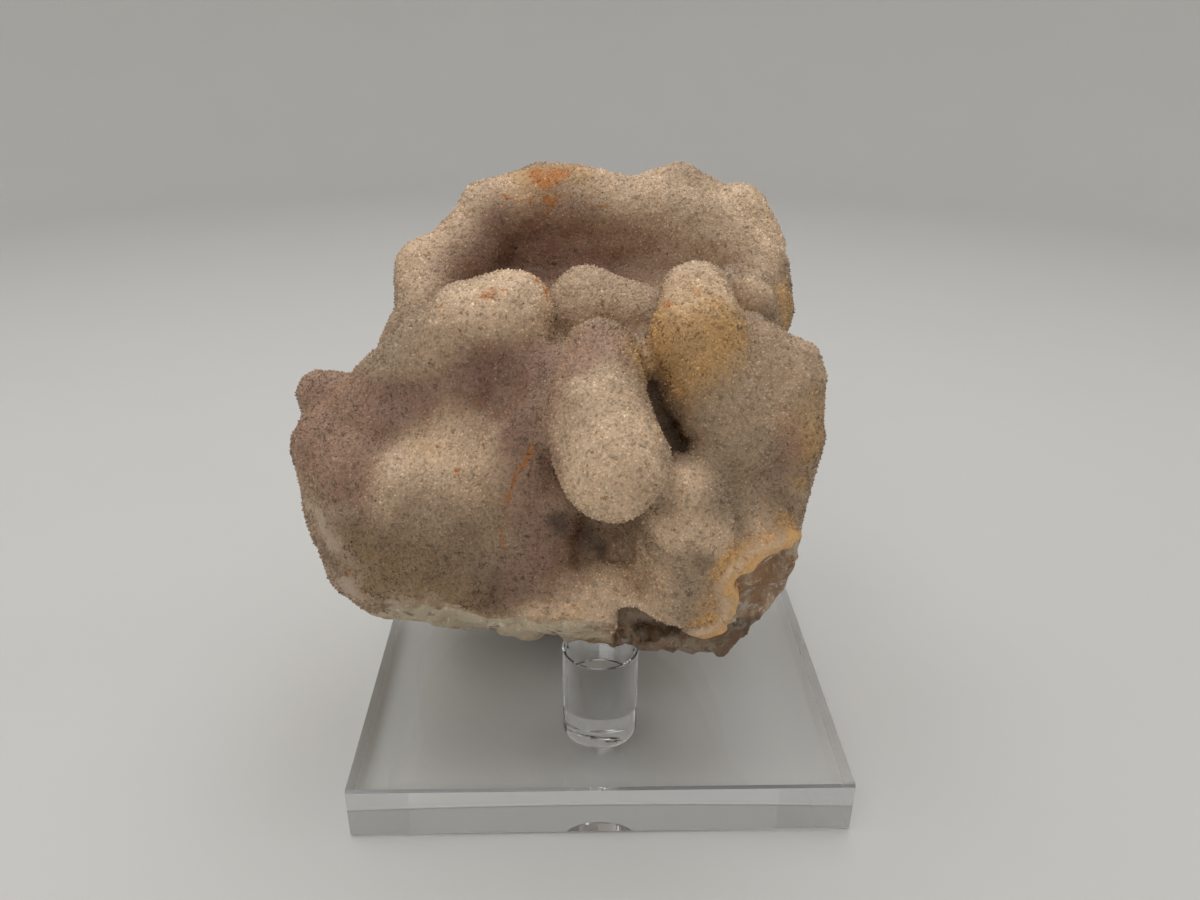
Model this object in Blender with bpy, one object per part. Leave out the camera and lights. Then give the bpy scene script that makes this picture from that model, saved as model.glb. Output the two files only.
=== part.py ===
"""Drusy quartz specimen leaning on a clear acrylic peg stand, in metres, +Z up.

The stone is one solid: rounded lobes of chalcedony under a sugar-fine quartz crust, on a
broken wedge of host rock. Its front edge lies on a short clear rod and its heel on the slab.
X runs to the right, Y away from the viewer, and the origin is the middle of the slab's underside.
"""

import bmesh
import bpy
import numpy as np
from mathutils import Vector, noise

MM = 0.001
GAP = 0.3 * MM

SLAB_SIDE = 101.6 * MM
SLAB_THICK = 12.0 * MM
SLAB_EDGE = 0.4 * MM
ROD_DIAMETER = 15.9 * MM
ROD_HEIGHT = 20.5 * MM
ROD_SETBACK = 19.0 * MM
ROD_SIDES = 64
ROD_EDGE = 0.3 * MM

ROD_Y = -SLAB_SIDE / 2 + ROD_SETBACK
ROD_TOP = SLAB_THICK + GAP + ROD_HEIGHT
SHELF_Z = ROD_TOP + GAP
HEEL_Z = SLAB_THICK + GAP

VOXEL = 0.9 * MM
SMOOTH_STEPS = 5
FINAL_SMOOTH_STEPS = 3
SWELL = 11 * MM
SWELL_HEIGHT = 0.9 * MM
STONE_TRIANGLES = 9200

# Lobes of the stone in millimetres: a chain of points on the axis, each (x, y, z, radius).
LOBES = {
    "core": [(-34, 2, 66, 22), (17, 3, 66, 22)],
    "core back": [(-28, 20, 62, 24), (14, 22, 62, 24)],
    "core top": [(-24, 7, 82, 14), (20, 7, 82, 14)],
    "front fill": [(-14, -15, 62, 14), (12, -13, 60, 13)],
    "left fill": [(-45, -9, 66, 13), (-24, -14, 62, 16)],
    "right fill": [(20, -10, 72, 14), (28, -8, 62, 14)],
    "lower fill": [(-38, -17, 46, 12), (20, -17, 46, 12)],
    "upper fill": [(-38, -11, 75, 12), (-16, -12, 79, 12), (20, -6, 83, 13)],
    "heel": [(-26, 12, 34, 22), (10, 14, 34, 22)],
    "back wall": [(-24, 30, 84, 14), (22, 31, 84, 14)],
    "hood": [
        (-24, 25, 109.5, 8), (-12, 27, 111.5, 9), (0.5, 28, 110, 9), (14.5, 29, 107.5, 9),
        (26.5, 28, 103, 9.5), (35, 23, 96.5, 9.5), (36, 15, 90, 8.5), (34, 8, 86.5, 6.5),
    ],
    "hood back ridge": [(12.5, 37, 110.5, 6.5), (20, 37, 111.5, 7.5), (26, 36, 109, 6.5)],
    "hood back knob": [(34, 33, 108, 7.5), (37.5, 28, 101, 7)],
    "left shoulder": [(-37, 8, 91, 7.5), (-40.5, 2, 85, 7), (-45, -4, 81, 5)],
    "saddle": [(-2, -3, 95, 9.5), (6.5, -3, 93.5, 8.5)],
    "left finger": [
        (-17, -19.5, 100.5, 8), (-25.5, -20, 97, 9.5), (-34, -18, 90, 8.5), (-42.5, -15, 83, 7.5),
    ],
    "left finger front": [(-17, -19.5, 100.5, 8), (-17, -20, 90, 8), (-17.5, -21.5, 81, 8)],
    "left knob": [(-56, -13, 80.5, 5.5), (-50.5, -11, 79, 6)],
    "left rim": [
        (-53, -19, 73, 8.5), (-52, -21, 61, 9), (-48.5, -24, 49, 8.5), (-43.5, -26, 44, 7),
    ],
    "left dome": [(-27, -30.5, 68, 11), (-36, -29.5, 67.5, 10.5)],
    "tongue": [(0, -22, 92, 8), (-1, -36, 88.5, 9.5), (1.5, -42, 80, 10.5)],
    "middle body": [(-11, -29, 66.5, 8), (-14, -30, 55, 8.5), (-17, -31, 44.5, 7.5)],
    "mound": [(-2, -34, 45.5, 8), (2.5, -34, 44.5, 8.5), (7.5, -35, 43, 7.5)],
    "foot of the mound": [(-11.5, -36, 42.5, 4), (-7.5, -36, 42.5, 4)],
    "lower lobe": [(15, -35.5, 69.5, 9), (17, -35, 58.5, 9), (17.5, -33, 46.5, 8.5)],
    "right finger": [
        (17.5, -17, 102, 7.5), (18.5, -23, 95, 10.5), (21.5, -26, 86, 10.5), (26, -26, 77, 9.5),
    ],
    "right shoulder": [(28, -17, 90.5, 9), (36.5, -20, 86, 7.5)],
    "right lobe": [
        (36, -20, 85.5, 8), (34.5, -22, 77, 9.5), (33, -22, 67, 10), (32.5, -22, 57, 9.5),
    ],
    "right back knob": [(27.5, 0, 100.5, 4.5), (32, 0, 97.5, 4.5), (31, 3, 88, 8)],
    "crust edge": [
        (36.5, -31, 57, 3.5), (30.5, -35, 58, 5), (24.5, -37, 54, 5), (22.5, -37, 46.5, 5),
        (23, -35, 38, 4),
    ],
    "pocket rock": [(34.5, -27, 48.5, 6.5), (30, -29, 42, 6.5), (27.5, -31, 36.5, 5)],
    "lower lip": [
        (-6, -34, 37, 3.5), (0.5, -34, 35.2, 3.2), (11, -34, 35, 2.5), (20.5, -34, 34, 3),
        (26.5, -33, 33, 3),
    ],
    "hood wall": [(11.5, 29, 99, 9.5), (22, 27, 98, 8.5)],
    "left shelf": [(-46, -16, 77, 9.5), (-34, -18, 78, 10.5), (-20, -21, 77, 10)],
    "cave back": [(-6.5, -21, 55, 9.5), (2.5, -20, 49.5, 8.5)],
    "flank foot": [(26, -26, 66, 8.5), (27.5, -27, 59.5, 8), (29.5, -28, 51, 8)],
    "under the left finger": [(-33, -19, 82.5, 8), (-25.5, -20.5, 88, 9)],
    "beside the tongue": [(-15, -30, 78, 8), (-19, -29, 61, 10), (-24, -28, 46.5, 10)],
    "left dome right side": [(-27, -30.5, 68, 11), (-20, -29, 65.5, 9.5)],
    "left dome left side": [(-36, -29.5, 67, 10.5), (-39.5, -27.5, 52, 11)],
    "left dome middle": [(-30, -30.5, 66.5, 11), (-34, -29, 50.5, 11.5)],
    "lower left lip": [(-40, -27, 43, 6), (-27, -28, 41, 6), (-14.5, -29, 38, 5)],
    "left rim to the dome": [(-47.5, -23, 69, 10), (-46, -25, 56.5, 11), (-42.5, -27, 47, 8.5)],
    "left dome lower right": [(-28, -29.5, 52, 11), (-21, -30, 52.5, 9)],
    "middle body right side": [(-9.5, -27, 64.5, 6.5), (-15, -26, 50, 7.5)],
    "lower lobe left side": [(10.5, -28, 64.5, 6), (14.5, -29, 51.5, 7.5)],
    "hood back": [(-28, 30, 97, 9), (-22, 36, 99, 8), (24, 38, 99, 7.5)],
    "hood left wall": [(-33, 15, 87, 10), (-29, 22, 94, 8.5)],
    "hood floor": [(-20, 18, 84, 13), (20, 18, 84, 13)],
    "hood left knob": [(-37, 8, 90.5, 7.5), (-37, 16, 99, 8)],
    "hood left step": [(-30.5, 20, 101, 8.5), (-25, 26, 107, 7.5)],
    "right shoulder corner": [(36.5, -20, 86, 7.5), (38.5, -20, 91, 4)],
    "hood recess": [(-14, 30, 100, 9.5), (0, 30, 100, 9.5)],
    "left of the tongue": [(-10, -27, 90.5, 5.5), (-11.5, -30, 86, 5.5), (-12.5, -31, 81.5, 6.5)],
}

# Hollows in millimetres: centre, radii and the way in.
HOLLOWS = {
    "notch in the lower edge": ((9.5, -42, 42), (6.5, 8, 5.5), (0, 1, 0.1)),
    "broken pocket": ((33.5, -39, 46.5), (8, 8, 10.5), (-0.3, 0.9, 0)),
}

# Faces where the host rock broke, in millimetres: a point on the face and its outward normal.
BREAKS = {
    "lip": ((0, -33, 33), (-0.1, -0.78, -0.62)),
    "lower left": ((-53, -22, 37), (-0.6, -0.1, -0.8)),
    "lower right": ((38, -28, 41), (0.62, 0.05, -0.75)),
    "back": ((0, 39, 70), (0.05, 0.97, -0.2)),
    "back left": ((-44, 26, 60), (-0.72, 0.68, -0.1)),
    "back right": ((36, 30, 60), (0.74, 0.66, -0.1)),
    "heel back": ((0, 34, 24), (-0.05, 0.6, -0.8)),
    "heel left": ((-44, 10, 26), (-0.8, 0.0, -0.6)),
    "heel right": ((28, 10, 26), (0.8, 0.0, -0.6)),
}
SHELF_BACK = -21 * MM
SHELF_HALF = 11 * MM


def clear_scene():
    for old in list(bpy.data.objects):
        bpy.data.objects.remove(old, do_unlink=True)


def finish(name, colour, roughness, transmission=0.0, ior=1.5):
    """A Principled material in the photo's colour for one sub-part."""
    material = bpy.data.materials.new(name)
    material.use_nodes = True
    shader = material.node_tree.nodes["Principled BSDF"]
    shader.inputs["Base Color"].default_value = (*colour, 1.0)
    shader.inputs["Roughness"].default_value = roughness
    shader.inputs["Metallic"].default_value = 0.0
    shader.inputs["Transmission Weight"].default_value = transmission
    shader.inputs["IOR"].default_value = ior
    return material


def add_object(name, bm, material, location=(0, 0, 0)):
    mesh = bpy.data.meshes.new(name)
    bm.to_mesh(mesh)
    bm.free()
    mesh.materials.append(material)
    obj = bpy.data.objects.new(name, mesh)
    obj.location = location
    bpy.context.collection.objects.link(obj)
    return obj


def add_bevel(obj, width, segments):
    bevel = obj.modifiers.new("eased edges", "BEVEL")
    bevel.width = width
    bevel.segments = segments
    bevel.limit_method = "ANGLE"


def make_slab():
    bm = bmesh.new()
    bmesh.ops.create_cube(bm, size=1.0)
    bmesh.ops.scale(bm, vec=(SLAB_SIDE, SLAB_SIDE, SLAB_THICK), verts=bm.verts)
    acrylic = finish("clear acrylic slab", (0.96, 0.97, 0.97), 0.03, 1.0, 1.49)
    slab = add_object("acrylic_slab", bm, acrylic, (0, 0, SLAB_THICK / 2))
    add_bevel(slab, SLAB_EDGE, 1)


def make_rod():
    bm = bmesh.new()
    bmesh.ops.create_cone(
        bm,
        cap_ends=True,
        segments=ROD_SIDES,
        radius1=ROD_DIAMETER / 2,
        radius2=ROD_DIAMETER / 2,
        depth=ROD_HEIGHT,
    )
    acrylic = finish("clear acrylic rod", (0.96, 0.97, 0.97), 0.03, 1.0, 1.49)
    middle = SLAB_THICK + GAP + ROD_HEIGHT / 2
    rod = add_object("acrylic_rod", bm, acrylic, (0, ROD_Y, middle))
    add_bevel(rod, ROD_EDGE, 1)
    rod.data.shade_smooth()
    rod.data.set_sharp_from_angle(angle=np.radians(40))


def add_pill(bm, start, end):
    """A ball stretched from one axis point to the next, with its own radius at each end."""
    ball = bmesh.ops.create_icosphere(bm, subdivisions=3, radius=1.0)["verts"]
    first, last = Vector(start[:3]), Vector(end[:3])
    axis = last - first
    direction = axis.normalized() if axis.length else Vector((0, 0, 1))
    for vert in ball:
        towards_end = vert.co.dot(direction) > 0
        centre, radius = (last, end[3]) if towards_end else (first, start[3])
        vert.co = (centre + vert.co * radius) * MM


def rough_lobes():
    bm = bmesh.new()
    for chain in LOBES.values():
        links = list(zip(chain, chain[1:])) or [(chain[0], chain[0])]
        for start, end in links:
            add_pill(bm, start, end)
    return bm


def hollow_out(points, centre, radii, way_in):
    """Push the points inside an ellipsoid out of its far side."""
    radii = np.array(radii) * MM
    start = (points - np.array(centre) * MM) / radii
    step = np.array(way_in) / np.linalg.norm(way_in) / radii
    inside = (start**2).sum(axis=1) < 1
    start = start[inside]
    a, b, c = step @ step, start @ step, (start**2).sum(axis=1) - 1
    travel = (-b + np.sqrt(b * b - a * c)) / a
    points[inside] += np.outer(travel, step * radii)


def break_off(points, on_face, normal):
    """Flatten whatever stands beyond a plane onto it."""
    normal = np.array(normal) / np.linalg.norm(normal)
    beyond = np.maximum((points - np.array(on_face) * MM) @ normal, 0)
    points -= np.outer(beyond, normal)


def roughness_at(point):
    """How far the surface stands out at a point, as a share: broad swells with finer ones on them."""
    return noise.noise(point / SWELL) + 0.3 * noise.noise(point / (0.4 * SWELL))


def carve(mesh, swell=0.0):
    points = np.empty(len(mesh.vertices) * 3, np.float32)
    normals = np.empty(len(mesh.vertices) * 3, np.float32)
    mesh.vertices.foreach_get("co", points)
    mesh.vertices.foreach_get("normal", normals)
    points = points.reshape(-1, 3).astype(float)
    if swell:
        rise = np.array([roughness_at(vert.co) for vert in mesh.vertices])
        points += swell * rise[:, None] * normals.reshape(-1, 3)
    for centre, radii, way_in in HOLLOWS.values():
        hollow_out(points, centre, radii, way_in)
    for on_face, normal in BREAKS.values():
        break_off(points, on_face, normal)
    over_rod = (points[:, 1] < SHELF_BACK) & (np.abs(points[:, 0]) < SHELF_HALF)
    points[over_rod, 2] = np.maximum(points[over_rod, 2], SHELF_Z)
    points[:, 2] = np.maximum(points[:, 2], HEEL_Z)
    mesh.vertices.foreach_set("co", points.ravel())


def one_skin(obj, smooth_steps):
    """Fuse what overlaps into one skin, then soften its creases."""
    remesh = obj.modifiers.new("one skin", "REMESH")
    remesh.mode = "VOXEL"
    remesh.voxel_size = VOXEL
    smooth = obj.modifiers.new("soft creases", "SMOOTH")
    smooth.factor = 0.5
    smooth.iterations = smooth_steps
    graph = bpy.context.evaluated_depsgraph_get()
    skin = bpy.data.meshes.new_from_object(obj.evaluated_get(graph))
    obj.modifiers.clear()
    obj.data = skin


def make_quartz():
    stone = finish("drusy quartz", (0.50, 0.42, 0.37), 0.45)
    quartz = add_object("quartz", rough_lobes(), stone)
    one_skin(quartz, SMOOTH_STEPS)
    carve(quartz.data, SWELL_HEIGHT)
    one_skin(quartz, FINAL_SMOOTH_STEPS)
    carve(quartz.data)
    thin = quartz.modifiers.new("fewer faces", "DECIMATE")
    thin.ratio = STONE_TRIANGLES / (2 * len(quartz.data.polygons))


clear_scene()
make_slab()
make_rod()
make_quartz()
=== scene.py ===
"""Drusy quartz specimen on a clear acrylic peg stand: the dressed model and its photo stage.

Laid out as an add-on: sizes and colours are properties, each piece is built by an operator, and a
panel in the 3D view's sidebar lists them. Run as a script it builds everything once.
"""

import itertools
import math

import bmesh
import bpy
import numpy as np
from bpy.props import FloatProperty, FloatVectorProperty, IntProperty, PointerProperty
from mathutils import Matrix, Vector, kdtree, noise


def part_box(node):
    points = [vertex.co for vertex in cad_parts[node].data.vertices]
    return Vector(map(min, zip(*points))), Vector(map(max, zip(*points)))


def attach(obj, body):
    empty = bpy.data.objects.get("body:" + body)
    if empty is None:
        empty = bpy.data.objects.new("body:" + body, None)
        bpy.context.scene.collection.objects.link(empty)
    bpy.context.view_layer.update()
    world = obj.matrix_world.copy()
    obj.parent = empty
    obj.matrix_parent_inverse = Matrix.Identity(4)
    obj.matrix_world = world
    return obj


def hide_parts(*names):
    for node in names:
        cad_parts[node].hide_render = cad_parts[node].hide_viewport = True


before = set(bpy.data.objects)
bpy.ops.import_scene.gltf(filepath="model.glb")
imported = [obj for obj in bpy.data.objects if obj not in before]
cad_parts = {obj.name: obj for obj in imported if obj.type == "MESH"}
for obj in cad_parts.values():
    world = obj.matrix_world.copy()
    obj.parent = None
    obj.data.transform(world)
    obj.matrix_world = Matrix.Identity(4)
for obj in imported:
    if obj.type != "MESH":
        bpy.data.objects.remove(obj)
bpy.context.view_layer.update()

bl_info = {
    "name": "Drusy Quartz Specimen",
    "version": (1, 0, 0),
    "blender": (4, 5, 0),
    "location": "3D View > Sidebar > Specimen",
    "description": "Builds a drusy quartz specimen on a clear peg stand, with its photo stage",
    "category": "Object",
}

MM = 0.001
ROOT = "root"

# Lobes of the stone in millimetres: a chain of points on the axis, each (x, y, z, radius).
LOBES = {
    "core": [(-34, 2, 66, 22), (17, 3, 66, 22)],
    "core back": [(-28, 20, 62, 24), (14, 22, 62, 24)],
    "core top": [(-24, 7, 82, 14), (20, 7, 82, 14)],
    "front fill": [(-14, -15, 62, 14), (12, -13, 60, 13)],
    "left fill": [(-45, -9, 66, 13), (-24, -14, 62, 16)],
    "right fill": [(20, -10, 72, 14), (28, -8, 62, 14)],
    "lower fill": [(-38, -17, 46, 12), (20, -17, 46, 12)],
    "upper fill": [(-38, -11, 75, 12), (-16, -12, 79, 12), (20, -6, 83, 13)],
    "heel": [(-26, 12, 34, 22), (10, 14, 34, 22)],
    "back wall": [(-24, 30, 84, 14), (22, 31, 84, 14)],
    "hood": [
        (-24, 25, 109.5, 8), (-12, 27, 111.5, 9), (0.5, 28, 110, 9), (14.5, 29, 107.5, 9),
        (26.5, 28, 103, 9.5), (35, 23, 96.5, 9.5), (36, 15, 90, 8.5), (34, 8, 86.5, 6.5),
    ],
    "hood back ridge": [(12.5, 37, 110.5, 6.5), (20, 37, 111.5, 7.5), (26, 36, 109, 6.5)],
    "hood back knob": [(34, 33, 108, 7.5), (37.5, 28, 101, 7)],
    "left shoulder": [(-37, 8, 91, 7.5), (-40.5, 2, 85, 7), (-45, -4, 81, 5)],
    "saddle": [(-2, -3, 95, 9.5), (6.5, -3, 93.5, 8.5)],
    "left finger": [
        (-17, -19.5, 100.5, 8), (-25.5, -20, 97, 9.5), (-34, -18, 90, 8.5), (-42.5, -15, 83, 7.5),
    ],
    "left finger front": [(-17, -19.5, 100.5, 8), (-17, -20, 90, 8), (-17.5, -21.5, 81, 8)],
    "left knob": [(-56, -13, 80.5, 5.5), (-50.5, -11, 79, 6)],
    "left rim": [
        (-53, -19, 73, 8.5), (-52, -21, 61, 9), (-48.5, -24, 49, 8.5), (-43.5, -26, 44, 7),
    ],
    "left dome": [(-27, -30.5, 68, 11), (-36, -29.5, 67.5, 10.5)],
    "tongue": [(0, -22, 92, 8), (-1, -36, 88.5, 9.5), (1.5, -42, 80, 10.5)],
    "middle body": [(-11, -29, 66.5, 8), (-14, -30, 55, 8.5), (-17, -31, 44.5, 7.5)],
    "mound": [(-2, -34, 45.5, 8), (2.5, -34, 44.5, 8.5), (7.5, -35, 43, 7.5)],
    "foot of the mound": [(-11.5, -36, 42.5, 4), (-7.5, -36, 42.5, 4)],
    "lower lobe": [(15, -35.5, 69.5, 9), (17, -35, 58.5, 9), (17.5, -33, 46.5, 8.5)],
    "right finger": [
        (17.5, -17, 102, 7.5), (18.5, -23, 95, 10.5), (21.5, -26, 86, 10.5), (26, -26, 77, 9.5),
    ],
    "right shoulder": [(28, -17, 90.5, 9), (36.5, -20, 86, 7.5)],
    "right lobe": [
        (36, -20, 85.5, 8), (34.5, -22, 77, 9.5), (33, -22, 67, 10), (32.5, -22, 57, 9.5),
    ],
    "right back knob": [(27.5, 0, 100.5, 4.5), (32, 0, 97.5, 4.5), (31, 3, 88, 8)],
    "crust edge": [
        (36.5, -31, 57, 3.5), (30.5, -35, 58, 5), (24.5, -37, 54, 5), (22.5, -37, 46.5, 5),
        (23, -35, 38, 4),
    ],
    "pocket rock": [(34.5, -27, 48.5, 6.5), (30, -29, 42, 6.5), (27.5, -31, 36.5, 5)],
    "lower lip": [
        (-6, -34, 37, 3.5), (0.5, -34, 35.2, 3.2), (11, -34, 35, 2.5), (20.5, -34, 34, 3),
        (26.5, -33, 33, 3),
    ],
    "hood wall": [(11.5, 29, 99, 9.5), (22, 27, 98, 8.5)],
    "left shelf": [(-46, -16, 77, 9.5), (-34, -18, 78, 10.5), (-20, -21, 77, 10)],
    "cave back": [(-6.5, -21, 55, 9.5), (2.5, -20, 49.5, 8.5)],
    "flank foot": [(26, -26, 66, 8.5), (27.5, -27, 59.5, 8), (29.5, -28, 51, 8)],
    "under the left finger": [(-33, -19, 82.5, 8), (-25.5, -20.5, 88, 9)],
    "beside the tongue": [(-15, -30, 78, 8), (-19, -29, 61, 10), (-24, -28, 46.5, 10)],
    "left dome right side": [(-27, -30.5, 68, 11), (-20, -29, 65.5, 9.5)],
    "left dome left side": [(-36, -29.5, 67, 10.5), (-39.5, -27.5, 52, 11)],
    "left dome middle": [(-30, -30.5, 66.5, 11), (-34, -29, 50.5, 11.5)],
    "lower left lip": [(-40, -27, 43, 6), (-27, -28, 41, 6), (-14.5, -29, 38, 5)],
    "left rim to the dome": [(-47.5, -23, 69, 10), (-46, -25, 56.5, 11), (-42.5, -27, 47, 8.5)],
    "left dome lower right": [(-28, -29.5, 52, 11), (-21, -30, 52.5, 9)],
    "middle body right side": [(-9.5, -27, 64.5, 6.5), (-15, -26, 50, 7.5)],
    "lower lobe left side": [(10.5, -28, 64.5, 6), (14.5, -29, 51.5, 7.5)],
    "hood back": [(-28, 30, 97, 9), (-22, 36, 99, 8), (24, 38, 99, 7.5)],
    "hood left wall": [(-33, 15, 87, 10), (-29, 22, 94, 8.5)],
    "hood floor": [(-20, 18, 84, 13), (20, 18, 84, 13)],
    "hood left knob": [(-37, 8, 90.5, 7.5), (-37, 16, 99, 8)],
    "hood left step": [(-30.5, 20, 101, 8.5), (-25, 26, 107, 7.5)],
    "right shoulder corner": [(36.5, -20, 86, 7.5), (38.5, -20, 91, 4)],
    "hood recess": [(-14, 30, 100, 9.5), (0, 30, 100, 9.5)],
    "hood recess top": [(-17, 29.5, 105, 9.5), (10, 29.5, 105, 9.5)],
    "left of the tongue": [(-10, -27, 90.5, 5.5), (-11.5, -30, 86, 5.5), (-12.5, -31, 81.5, 6.5)],
}

# Faces where the host rock broke, in millimetres: a point on the face and its outward normal.
BREAKS = {
    "lip": ((0, -33, 33), (-0.1, -0.78, -0.62)),
    "lower left": ((-53, -22, 37), (-0.6, -0.1, -0.8)),
    "lower right": ((38, -28, 41), (0.62, 0.05, -0.75)),
    "back": ((0, 39, 70), (0.05, 0.97, -0.2)),
    "back left": ((-44, 26, 60), (-0.72, 0.68, -0.1)),
    "back right": ((36, 30, 60), (0.74, 0.66, -0.1)),
    "heel back": ((0, 34, 24), (-0.05, 0.6, -0.8)),
    "heel left": ((-44, 10, 26), (-0.8, 0.0, -0.6)),
    "heel right": ((28, 10, 26), (0.8, 0.0, -0.6)),
}

# The broken pocket at the lower right, in millimetres: its left and upper edge as seen from
# the front (x, z), and how far back its rock lies at the left, with the slope to the right.
POCKET_EDGE = [(20.0, 37.0), (25.5, 41.5), (26.0, 49.0), (25.8, 54.5), (31.5, 57.5), (44.0, 59.5)]
POCKET_LEFT, POCKET_BACK, POCKET_SLOPE = 25.0, -34.0, 0.45

# The sharp notch in the lower edge, in millimetres: open below as far as its lip.
NOTCH_LEFT, NOTCH_LIP, NOTCH_RIGHT = 3.0, 6.5, 16.0
NOTCH_TOP, NOTCH_FALL = 47.7, 0.75
NOTCH_FLOOR, NOTCH_BACK = 38.0, -32.5

# Where the stone rests, in millimetres: the rod's top and how far it reaches, and the slab.
SHELF_Z, SHELF_BACK, SHELF_HALF = 32.8, -21.0, 11.0
HEEL_Z = 12.3
SWELL, SWELL_HEIGHT = 11.0, 0.9

# Bubbles in the cement under the rod, in millimetres from its axis: place, length, width, turn.
BUBBLES = [
    (-1.0, -2.0, 9.0, 1.5, -16), (0.8, 1.2, 5.0, 1.1, -12), (-3.4, 1.6, 3.0, 1.0, -20),
    (2.4, -4.6, 3.4, 1.1, -12),
]
BUBBLE_HEIGHT = 0.35  # mm, half of a bubble's height

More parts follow.
